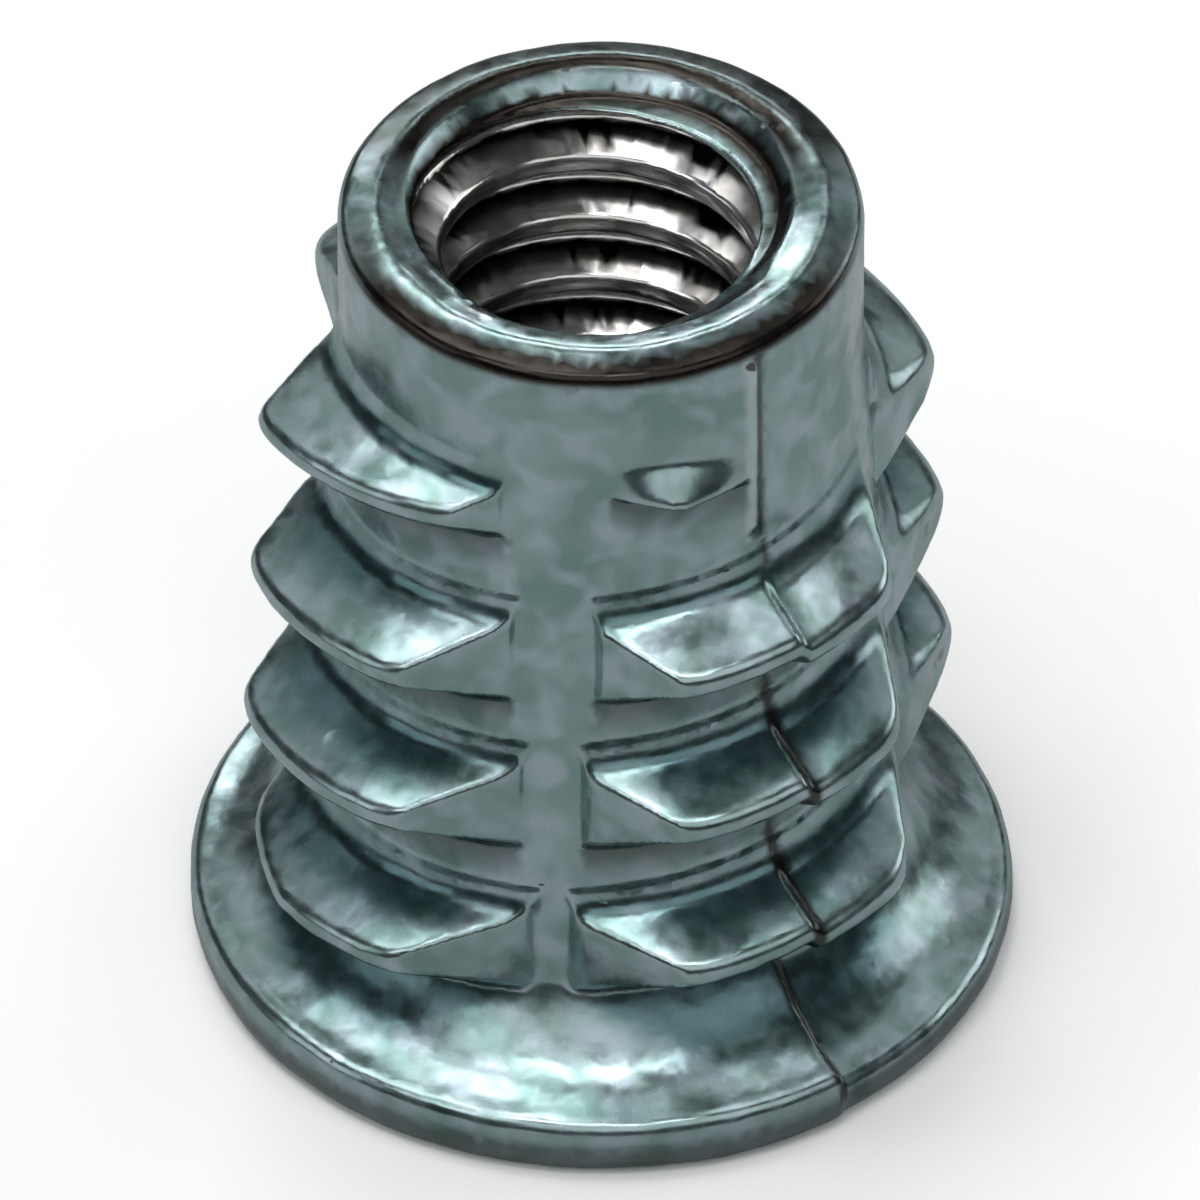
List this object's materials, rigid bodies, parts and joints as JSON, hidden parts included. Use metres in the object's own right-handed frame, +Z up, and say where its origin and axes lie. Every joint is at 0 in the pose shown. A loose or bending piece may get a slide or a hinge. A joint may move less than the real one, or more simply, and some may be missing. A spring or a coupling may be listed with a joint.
{
  "type": "threaded insert",
  "caption": "Cast flanged insert with a coarse outside wood thread cut by relief strips, a machine-threaded bore and a hex drive in its flange.",
  "frame": {"origin": "centre of the flange's face, which the part stands on", "axes": "+Z up along the bore, from the flange to the entry end; -Y is the front, through the middle of one relief strip"},
  "size_m": [0.0136, 0.0134, 0.015],
  "materials": {
    "cast_zinc": "satin die-cast zinc alloy with a slight blue-green passivation"
  },
  "bodies": {
    "root": {"insert_body": "cast_zinc"}
  },
  "joints": []
}
